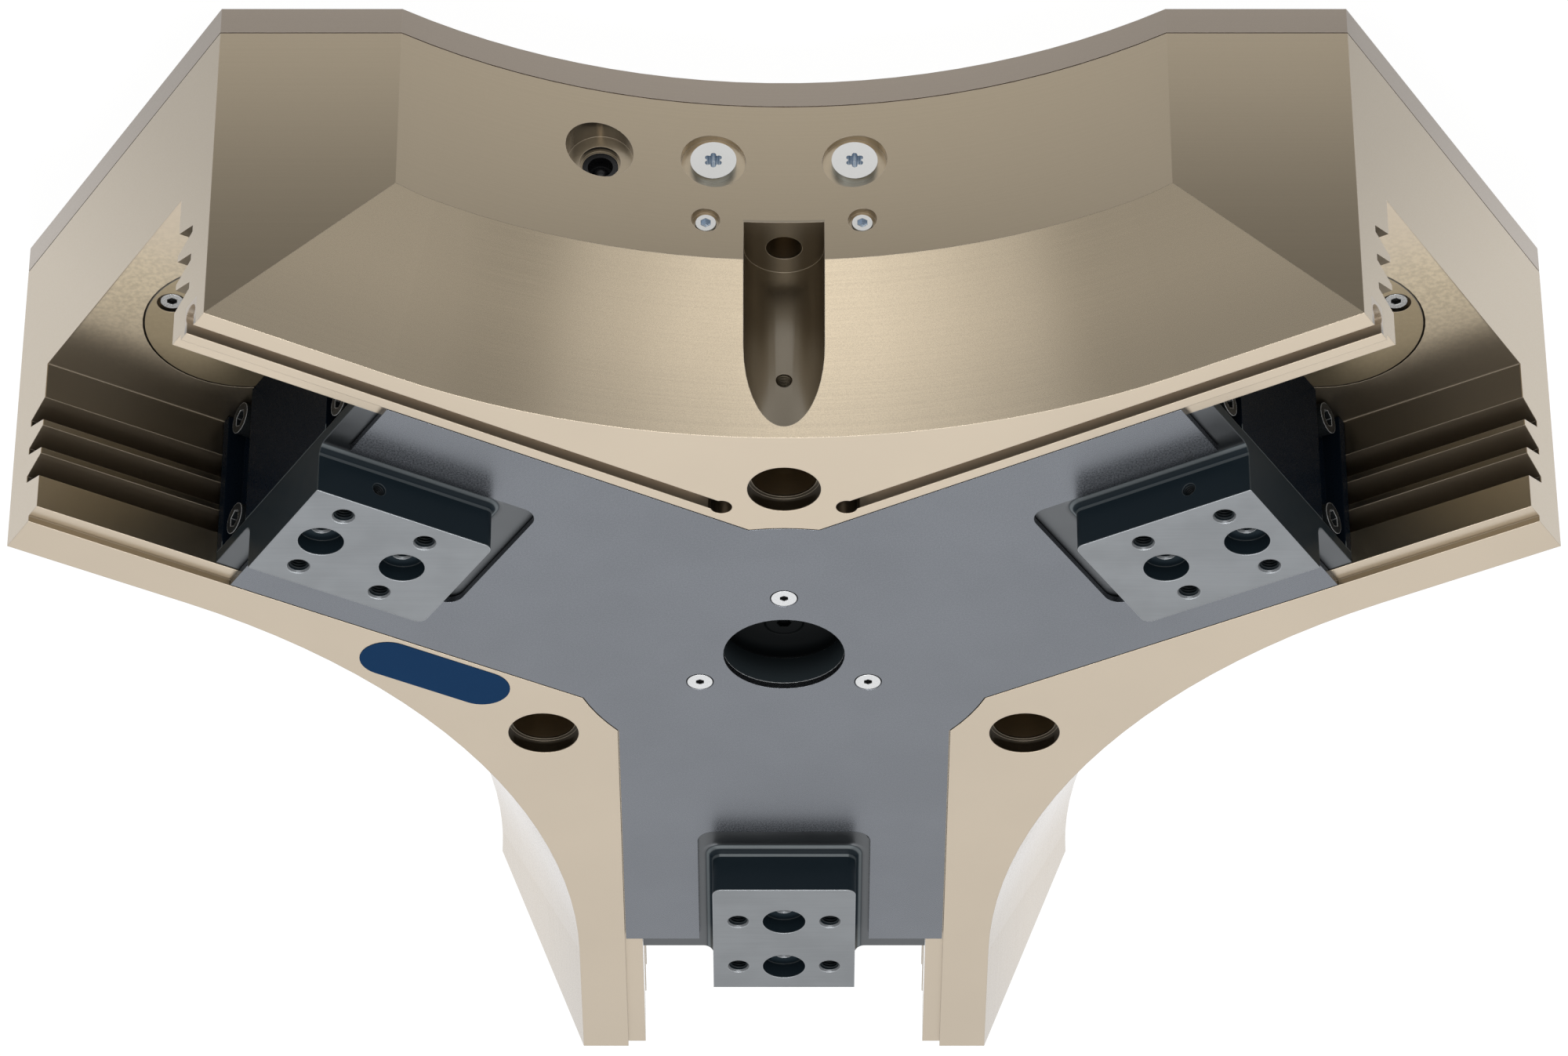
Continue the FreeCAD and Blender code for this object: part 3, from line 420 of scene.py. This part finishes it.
def slot_wall_shading(s):
    # Painted shade on the slot walls: darker below the guide grooves, painted light above them and the
    # deepest shade inside them
    colour = s.mix(s.above(s.height, LOWER_WALL, 0.4 * MM), SLOT_WALL_LOW_SHADE, SLOT_WALL_MIDDLE_SHADE)
    colour = s.mix(s.above(s.height, UPPER_WALL, 0.4 * MM), colour, SLOT_WALL_TOP_LIGHT)
    guides = s.math("SUBTRACT", s.in_slots(GUIDE_HALF), s.in_slots(SLOT_HALF + 0.3 * MM))
    return s.mix(guides, colour, GUIDE_GROOVE_SHADE)


def anodised(name, face, wall_shade, floor, rough, milled):
    # Hard-anodised aluminium: milling lines along the walls and a fine grain, with painted shade on the
    # walls, in the slots, pockets, holes and recesses, painted light on the port spot faces and deep in the
    # sensor grooves, painted highlights on the edges and the slot floor's foot, and a pale slot floor,
    # which on a rough-milled body is mottled, lighter in a middle band and fades into painted shade towards
    # the walls
    s = Finish(name)
    level = s.above(s.up, 0.85, 0.12)
    bottom = s.times(level, s.between(s.height, SLOT_FLOOR - 2.0 * MM, SLOT_FLOOR + 2.0 * MM, 0.5 * MM))
    pale = bottom
    if milled:
        middle = s.ramp(s.in_slots(MILLED_HALF), 0.0, 1.0, 0.92, 1.0)
        # Painted shade: on a rough-milled body the pale floor fades out towards the slot walls
        pale = s.times(bottom, s.in_slots(0.0, FLOOR_SHADE_FADE), middle)
    contrast, softness = (0.12, 0.55) if milled else (0.03, 0.40)

    cloud = s.noise(22.0, 4.0)
    lines = s.noise(3.0, 2.0, (1.0, 1.0, 900.0))
    mottle = s.noise(700.0, 5.0)
    grain = s.noise(2600.0, 2.0)
    edges = s.grain(s.math("ADD", grain, lines), strength=0.035, edge=0.34 * MM)

    # Painted shade: upright faces take the darker wall colour, level faces the face colour
    wall_shade_colour = s.tinted(lines, wall_shade, 0.015)
    # Painted shade on the bevels, deepening towards their upper edge
    bevel_shade = s.times(s.slope, s.ramp(s.height, BEVEL_LOW, BEVEL_HIGH, 0.0, 1.0))
    wall_shade_colour = s.mix(bevel_shade, wall_shade_colour, shade(wall_shade, 0.80))
    # Painted light: the ports' spot faces are lighter
    wall_shade_colour = s.mix(s.near_ports(), wall_shade_colour, shade(wall_shade, 1.2))
    # Painted shade on the upright faces in the slots
    in_slot = s.between(s.height, SLOT_FLOOR - 1.0 * MM, COVER_SEAT - 0.1 * MM, 0.3 * MM)
    slot_wall_shade_mask = s.times(s.in_slots(GUIDE_HALF), s.without(level), in_slot)
    colour = s.mix(slot_wall_shade_mask, s.mix(level, wall_shade_colour, s.tinted(cloud, face, 0.015)), slot_wall_shading(s))

    # Painted shade in the mounting holes' sleeve recesses
    colour = s.mix(s.in_mount_recesses(), colour, MOUNT_RECESS_SHADE)
    # Painted shade in the bolt pockets, deeper on their level seats
    colour = s.mix(s.in_pockets(), colour, s.mix(level, POCKET_SHADE, POCKET_BOTTOM_SHADE))
    # Painted shade in the purge port and the pockets' tapped holes
    colour = s.mix(s.any_of(s.in_purge_port(), s.in_cross_holes()), colour, DEEP_HOLE_SHADE)
    groove = s.in_sensor_grooves(GROOVE_START)
    # Painted shade in the sensor grooves and their inner end, with painted light lower down beyond the
    # inner end
    colour = s.mix(s.in_sensor_grooves(GROOVE_HOLE_START), colour, GROOVE_HOLE_SHADE)
    colour = s.mix(s.times(groove, s.below(s.height, GROOVE_LIT, GROOVE_LIT_HEIGHT)), colour, GROOVE_LIGHT)

    colour = s.mix(pale, colour, s.tinted(mottle, floor, contrast))
    # Painted highlight: a light line where the slot floor meets the walls
    foot = s.math("SUBTRACT", s.in_slots(SLOT_HALF + 0.2 * MM), s.in_slots(SLOT_HALF - 0.7 * MM))
    corner_highlight = s.times(bottom, foot)
    colour = s.mix(corner_highlight, colour, shade(face, 1.2))
    # Painted highlights along the edges
    s.set(Base_Color=s.mix(s.times(edges, 0.7), colour, shade(face, 1.3)))

    fine = s.math("ADD", s.spread(grain, rough - 0.03, rough + 0.03), s.spread(lines, -0.02, 0.02))
    fine = s.math("SUBTRACT", fine, s.times(s.slope, 0.10))
    s.set(Roughness=s.math("ADD", fine, s.times(pale, 0.10)))
    soft = s.any_of(s.times(pale, softness), s.times(s.any_of(edges, corner_highlight, groove), 0.6))
    s.set(Metallic=s.without(soft), Coat_Weight=1.0, Coat_Roughness=0.2, Coat_IOR=1.75)
    return s.material


def satin(name, colour, rough, metallic=1.0, specular=0.5, edge_highlight=None, highlight_above=0.0, edge=0.2 * MM,
          shaded_heights=(), depth_shade=None, side=None):
    # Plain finish with a cloudy tone and a fine grain; edges may carry a painted highlight, sockets and
    # depths painted shade, and faces not turned along y a painted side shade
    s = Finish(name)
    cloud = s.noise(30.0, 4.0)
    grain = s.noise(1800.0, 2.0)
    edges = s.grain(grain, strength=0.03, edge=edge)
    tone = s.tinted(cloud, colour, 0.03)
    # Painted shade that deepens downwards between the given heights
    if depth_shade:
        tone = s.mix(s.ramp(s.height, depth_shade[0], depth_shade[1], 1.0, 0.0), tone, shade(colour, 0.3))
    # Painted bluish shade on faces not turned along y
    if side:
        turned = s.math("ABSOLUTE", s.part(s.normal, 1))
        tone = s.mix(s.below(turned, 0.4, 0.3), tone, side)
    # Painted highlight on the edges above a given height
    if edge_highlight:
        tone = s.mix(s.times(edges, s.above(s.height, highlight_above - 1.0 * MM, 1.0 * MM)), tone, edge_highlight)
    # Painted shade in sockets and depths at the given heights
    for low, high in shaded_heights:
        tone = s.mix(s.between(s.height, low, high, 0.1 * MM), tone, shade(colour, 0.08))
    s.set(Base_Color=tone, Roughness=s.spread(grain, rough - 0.04, rough + 0.04))
    s.set(Metallic=metallic, Specular_IOR_Level=specular)
    return s.material


def jaw_finish(name, ground, black, rough):
    # Blackened steel whose face, chamfers and shoulders are ground, with painted shade on the shoulders,
    # painted highlights on the edges and painted highlight lines along the foot
    s = Finish(name)
    level = s.above(s.up, 0.90, 0.07)
    face = s.times(level, s.ramp(s.height, JAW_FACE_LOW, JAW_FACE_HIGH, 0.0, 1.0))
    chamfer = s.times(s.between(s.up, 0.55, 0.92, 0.10), s.above(s.height, JAW_CHAMFER, 0.1 * MM))
    bright = s.any_of(face, chamfer)
    shaded_shoulder = s.times(level, s.between(s.height, JAW_SHOULDER_LOW, JAW_SHOULDER_HIGH, 0.4 * MM))

    scratches = s.noise(40.0, 3.0, (1.0, 26.0, 1.0))
    cloud = s.noise(60.0, 3.0)
    edges = s.grain(scratches, strength=0.015, edge=0.6 * MM)
    worn = s.ramp(s.math("ADD", scratches, cloud), 0.7, 1.3, 0.0, 1.0)
    steel = s.mix(worn, shade(ground, 0.97), shade(ground, 1.03))
    # Painted highlight along the ground steel's edges
    steel = s.mix(edges, steel, shade(ground, 1.9))

    # Painted highlight along the black steel's edges
    dark = s.mix(s.times(edges, 0.6), black, BLACK_EDGE_HIGHLIGHT)
    # Painted highlight lines on the fillets at the jaws' foot
    sideways = s.math("ABSOLUTE", s.part(s.normal, 0))
    lower = s.times(s.between(s.up, 0.66, 0.97, 0.12), s.ramp(sideways, 0.15, 0.35, 1.0, 0.55))
    upper = s.times(s.between(s.up, 0.02, 0.32, 0.08), s.ramp(sideways, 0.15, 0.35, 1.0, 0.30))
    foot = s.between(s.height, JAW_FOOT_LOW, JAW_FOOT_HIGH)
    dark = s.mix(s.times(foot, s.any_of(lower, upper)), dark, FOOT_HIGHLIGHT)

    # Painted shade: the ground shoulders take a darker copy of the steel
    tone = s.mix(shaded_shoulder, s.mix(bright, dark, steel), shade(ground, 0.50))
    metal = s.times(s.any_of(bright, shaded_shoulder), s.ramp(edges, 0.0, 1.0, 1.0, 0.3))
    s.set(Base_Color=tone, Roughness=s.spread(cloud, rough - 0.03, rough + 0.03))
    s.set(Metallic=metal, Specular_IOR_Level=0.22)
    return s.material


MATERIALS = {
    "anodised_body": anodised("anodised_body", BRONZE, BRONZE_WALL_SHADE, BRONZE_FLOOR, rough=0.36, milled=True),
    "rear_plate": anodised("rear_plate", REAR_BRONZE, REAR_WALL_SHADE, REAR_BRONZE, rough=0.42, milled=False),
    "floor_cover": anodised("floor_cover", BRONZE, BRONZE_WALL_SHADE, COVER_FLOOR, rough=0.36, milled=False),
    "cover_plate": satin("cover_plate", (0.234, 0.248, 0.274), rough=0.27, metallic=0.95),
    # Painted highlight on the end plates' upper edges
    "black_metal": satin("black_metal", (0.006, 0.011, 0.019), rough=0.30, metallic=0.0, specular=0.05,
                         edge_highlight=(0.30, 0.34, 0.35), highlight_above=END_PLATE_RIM, edge=0.5 * MM),
    "jaw_steel": jaw_finish("jaw_steel", ground=(0.28, 0.295, 0.31), black=(0.016, 0.027, 0.036),
                            rough=0.34),
    # Painted shade in the screw sockets
    "steel_screw": satin("steel_screw", BRIGHT_STEEL_AND_GLINT, rough=0.30, metallic=0.8, shaded_heights=SCREW_SOCKETS),
    # Painted glint on the black screws' edges
    "dark_screw": satin("dark_screw", (0.02, 0.023, 0.025), rough=0.30, metallic=0.0, specular=0.2,
                        edge_highlight=BRIGHT_STEEL_AND_GLINT, edge=0.4 * MM),
    # Painted bluish shade on the plugs' sockets and sides
    "zinc_plug": satin("zinc_plug", (0.98, 0.98, 0.96), rough=0.14, side=(0.48, 0.56, 0.66)),
    "inner_steel": satin("inner_steel", (0.32, 0.33, 0.34), rough=0.35),
    "bearing_steel": satin("bearing_steel", (0.55, 0.56, 0.57), rough=0.2),
    "rod_chrome": satin("rod_chrome", (0.72, 0.73, 0.74), rough=0.12),
    "inner_aluminium": satin("inner_aluminium", (0.55, 0.55, 0.56), rough=0.35),
    "bronze_bush": satin("bronze_bush", (0.50, 0.35, 0.16), rough=0.35),
    "seal_rubber": satin("seal_rubber", (0.02, 0.02, 0.02), rough=0.6, metallic=0.0),
    "black_plastic": satin("black_plastic", (0.012, 0.012, 0.014), rough=0.3, metallic=0.0),
}
# Painted highlight on the cup's rim and painted shade on its floor and deepening down its wall
CUP = satin("hub_black", (0.042, 0.055, 0.062), rough=0.5, metallic=0.0, specular=0.06,
            edge_highlight=(0.85, 0.87, 0.88), edge=0.7 * MM, shaded_heights=CUP_FLOOR, depth_shade=CUP_WALL)
JAW_THREAD = satin("thread_black", (0.008, 0.014, 0.018), rough=0.4, metallic=0.0, specular=0.3)
# Painted shade: the pockets' thread ridges are dark bronze, as deep in their holes
POCKET_THREAD_SHADE = satin("thread_bronze", (0.12, 0.10, 0.07), rough=0.4)
LABEL_BLUE = satin("label_blue", (0.003, 0.035, 0.105), rough=0.5, metallic=0.0, specular=0.05)

slots = {entry["node"]: entry["material_slot"] for entry in frame["record"]["subparts"]}
for name, obj in nodes.items():
    obj.data.materials.clear()
    obj.data.materials.append(CUP if name.startswith("centre_hub") else MATERIALS[slots[name]])


# Pieces added to the model

LABEL_ARM = ARM_ANGLES[3]
LABEL_OUT = 89.6 * MM
LABEL_ACROSS = 63.8 * MM
LABEL_LENGTH = 51.0 * MM
LABEL_WIDTH = 18.2 * MM
LABEL_STEPS = 20
# Inset and height of the label's outline, from its foot up to its face
LABEL_RINGS = ((0.0, 0.0), (0.0, 0.10 * MM), (0.06 * MM, 0.16 * MM))

# Radius, depth, pitch and ridge height of the tapped holes' threads
FACE_THREAD = (INNER_ROW["dims"]["hole_r_mm"] * MM, 11.0 * MM, 1.0 * MM, 0.5 * MM)
SIDE_THREAD = (2.1 * MM, 7.0 * MM, 0.8 * MM, 0.4 * MM)
CROSS_THREAD = (2.5 * MM, 10.0 * MM, 0.8 * MM, 0.4 * MM)
THREAD_STEPS = 28
# Half widths of a ridge, as shares of its pitch
RIDGE_FOOT = 0.42
RIDGE_CREST = 0.08

# Where the threads begin
TAPPED_ROWS = (INNER_ROW["pos_m"][1], OUTER_ROW["pos_m"][1])
TAPPED_HALF_SPAN = INNER_ROW["dims"]["pcd_mm"] / 2 * MM
TAPPED_MOUTH = JAW_FACE - 1.1 * MM
SIDE_HOLE_OUT = JAW_END - 20.5 * MM
SIDE_HOLE_MOUTH = 22.6 * MM
SIDE_HOLE_HEIGHT = JAW_FACE - 7.5 * MM
CROSS_HOLE_MOUTH = POCKET_CIRCLE - 12.9 * MM


def place(angle, out, across, z):
    # Point of an arm or gap: out along its axis and across to its left
    a = radians(angle)
    return Vector((out * cos(a) - across * sin(a), out * sin(a) + across * cos(a), z))


def make_object(name, bm, material):
    mesh = bpy.data.meshes.new(name)
    bm.to_mesh(mesh)
    bm.free()
    mesh.materials.append(material)
    obj = bpy.data.objects.new(name, mesh)
    scene.collection.objects.link(obj)
    return obj


def add_piece(name, bm, material, body):
    obj = make_object(name, bm, material)
    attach(obj, body)


def bridge(bm, low, high):
    # Band of faces between two closed rings of points
    for k in range(len(low)):
        m = (k + 1) % len(low)
        bm.faces.new((low[k], low[m], high[m], high[k]))


def pill_outline(length, width):
    # Points round a strip with round ends
    straight = (length - width) / 2
    points = []
    for end in (1, -1):
        for k in range(LABEL_STEPS + 1):
            a = -pi / 2 + pi * k / LABEL_STEPS
            points.append((end * (straight + width / 2 * cos(a)), end * width / 2 * sin(a)))
    return points


def make_label():
    # Bare printed label: a thin film with a rounded rim
    bm = bmesh.new()
    rings = []
    for inset, rise in LABEL_RINGS:
        outline = pill_outline(LABEL_LENGTH - 2 * inset, LABEL_WIDTH - 2 * inset)
        rings.append([
            bm.verts.new(place(LABEL_ARM, LABEL_OUT + x, LABEL_ACROSS + y, BODY_TOP + rise))
            for x, y in outline])
    for low, high in zip(rings, rings[1:]):
        bridge(bm, low, high)
    bm.faces.new(rings[-1])
    bm.faces.new(list(reversed(rings[0])))
    return bm


def thread_ridge(start, direction, radius, depth, pitch, height):
    # Helical ridge of a tapped hole, from its mouth inwards
    bm = bmesh.new()
    axis = Vector(direction).normalized()
    side = axis.orthogonal().normalized()
    other = axis.cross(side)
    foot = RIDGE_FOOT * pitch
    crest = RIDGE_CREST * pitch
    last = None
    for k in range(round(depth / pitch * THREAD_STEPS) + 1):
        a = 2 * pi * k / THREAD_STEPS
        along = k / THREAD_STEPS * pitch
        ray = side * cos(a) + other * sin(a)
        section = ((radius, along - foot), (radius - height, along - crest),
                   (radius - height, along + crest), (radius, along + foot))
        ring = [bm.verts.new(start + ray * r + axis * d) for r, d in section]
        if last:
            bridge(bm, last, ring)
        else:
            bm.faces.new(list(reversed(ring)))
        last = ring
    bm.faces.new(last)
    bmesh.ops.recalc_face_normals(bm, faces=bm.faces)
    return bm


def joined(parts):
    whole = bmesh.new()
    for bm in parts:
        mesh = bpy.data.meshes.new("part")
        bm.to_mesh(mesh)
        bm.free()
        whole.from_mesh(mesh)
        bpy.data.meshes.remove(mesh)
    return whole


def jaw_threads(angle):
    ridges = []
    for row in TAPPED_ROWS:
        for across in (-TAPPED_HALF_SPAN, TAPPED_HALF_SPAN):
            ridges.append(thread_ridge(place(angle, row, across, TAPPED_MOUTH), (0, 0, -1), *FACE_THREAD))
    for side in (-1, 1):
        start = place(angle, SIDE_HOLE_OUT, side * SIDE_HOLE_MOUTH, SIDE_HOLE_HEIGHT)
        ridges.append(thread_ridge(start, place(angle, 0, -side, 0), *SIDE_THREAD))
    return joined(ridges)


def pocket_threads():
    ridges = []
    for gap in GAP_ANGLES:
        start = place(gap, CROSS_HOLE_MOUTH, 0, CROSS_HOLE_HEIGHT)
        ridges.append(thread_ridge(start, place(gap, -1, 0, 0), *CROSS_THREAD))
    return joined(ridges)


add_piece("label", make_label(), LABEL_BLUE, "body")
for number, angle in ARM_ANGLES.items():
    add_piece("jaw_threads_%d" % number, jaw_threads(angle), JAW_THREAD, "jaw_%d" % number)
add_piece("pocket_threads", pocket_threads(), POCKET_THREAD_SHADE, "body")


# Stage: a white floor that keeps the shadow

FLOOR_SIZE = 14.0
FLOOR_GAP = 0.3 * MM
FLOOR_WHITE = (0.9, 0.9, 0.9)
FLOOR_GLOW = 1.10
FLOOR_GLOW_SHARE = 0.85
# Tone of the table that lights the part, from the camera's side to the part
TABLE_NEAR, TABLE_FAR = -0.30, -0.14
TABLE_DARK, TABLE_PALE = 0.33, 0.92
# Tones that the part mirrors, by share of the way from the camera's side to beyond the part
MIRROR_NEAR, MIRROR_FAR = -0.34, 0.16
MIRROR_FIRST = (0.20, 0.20, 0.20, 1.0)
MIRROR_LAST = (0.98, 0.99, 1.02, 1.0)
MIRROR_TONES = ((0.09, 0.25), (0.19, 0.45), (0.25, 0.57), (0.30, 0.62), (0.42, 0.69), (0.56, 0.90),
                (0.66, 0.92))


def mirrored_tones(w):
    node = w.tree.nodes.new("ShaderNodeValToRGB")
    w.link(w.ramp(w.y, MIRROR_NEAR, MIRROR_FAR, 0.0, 1.0, "LINEAR"), node.inputs["Fac"])
    elements = node.color_ramp.elements
    for stop, tone in MIRROR_TONES:
        elements.new(stop).color = (tone, tone, tone, 1.0)
    elements[0].color = MIRROR_FIRST
    elements[-1].color = MIRROR_LAST
    return node.outputs["Color"]


def floor_material():
    # White to the camera; to the part it is a grey table that falls off towards the camera
    w = Wiring("floor")
    shadowed = w.mix_shaders(FLOOR_GLOW_SHARE, w.shader("ShaderNodeBsdfDiffuse", FLOOR_WHITE),
                             w.shader("ShaderNodeEmission", (1.0, 1.0, 1.0), FLOOR_GLOW))
    fall = w.ramp(w.y, TABLE_NEAR, TABLE_FAR, TABLE_DARK, TABLE_PALE)
    table = w.shader("ShaderNodeBsdfDiffuse", fall)
    mirrored = w.shader("ShaderNodeEmission", mirrored_tones(w))
    path = w.tree.nodes.new("ShaderNodeLightPath").outputs
    seen = w.mix_shaders(path["Is Glossy Ray"], table, mirrored)
    w.link(w.mix_shaders(path["Is Camera Ray"], seen, shadowed), w.surface)
    return w.material


def make_floor():
    bm = bmesh.new()
    bmesh.ops.create_grid(bm, x_segments=1, y_segments=1, size=FLOOR_SIZE)
    bmesh.ops.translate(bm, verts=bm.verts, vec=(0, 0, cad_box[0][2] - FLOOR_GAP))
    return make_object("floor", bm, floor_material())


make_floor()


# Light: an even white surround and soft boxes; those in one direction lie one before the other

SURROUND = 0.45
FRONT_WAY = (0.05, -0.92, 0.37)
# Name, direction, distance, width, height and radiance
SOFT_BOXES = (
    ("box_behind", (0.0, 0.814, 0.581), 2.4, 2.6, 1.6, 0.32),
    ("box_front", FRONT_WAY, 3.20, 3.60, 1.0, 0.50),
    ("box_middle", FRONT_WAY, 3.15, 2.05, 1.0, 0.32),
    ("box_core", FRONT_WAY, 3.10, 0.93, 1.0, 0.34),
    ("side_left", (-0.75, -0.585, 0.30), 3.20, 1.15, 1.2, 0.15),
    ("side_right", (0.75, -0.585, 0.30), 3.20, 1.15, 1.2, 0.06),
    ("key_behind", (0.0, 0.36, 0.93), 2.6, 0.8, 0.8, 10.0),
    ("key_front", (0.0, -0.45, 0.89), 2.6, 1.2, 1.2, 1.2),
)


def softbox(name, direction, distance, width, height, radiance):
    data = bpy.data.lights.new(name, "AREA")
    data.shape = "RECTANGLE"
    data.size = width
    data.size_y = height
    data.energy = radiance * pi * width * height
    lamp = bpy.data.objects.new(name, data)
    way = Vector(direction).normalized()
    lamp.location = way * distance
    lamp.rotation_euler = way.to_track_quat("Z", "Y").to_euler()
    scene.collection.objects.link(lamp)


world = bpy.data.worlds.new("surround")
scene.world = world
world.use_nodes = True
background = world.node_tree.nodes["Background"]
background.inputs["Color"].default_value = (1.0, 1.0, 1.0, 1.0)
background.inputs["Strength"].default_value = SURROUND
for box in SOFT_BOXES:
    softbox(*box)


# Camera

camera_data = bpy.data.cameras.new("camera")
camera_data.lens = CAMERA_LENS
camera_data.sensor_width = CAMERA_SENSOR
camera_data.sensor_fit = "HORIZONTAL"
camera_data.clip_end = CAMERA_REACH
camera = bpy.data.objects.new("camera", camera_data)
tilt = Matrix.Rotation(radians(90.0 - CAMERA_DOWN), 4, "X")
roll = Matrix.Rotation(pi, 4, "Z")
camera.matrix_world = Matrix.Translation(CAMERA_PLACE) @ tilt @ roll
scene.collection.objects.link(camera)
scene.camera = camera
scene.view_settings.view_transform = "Standard"
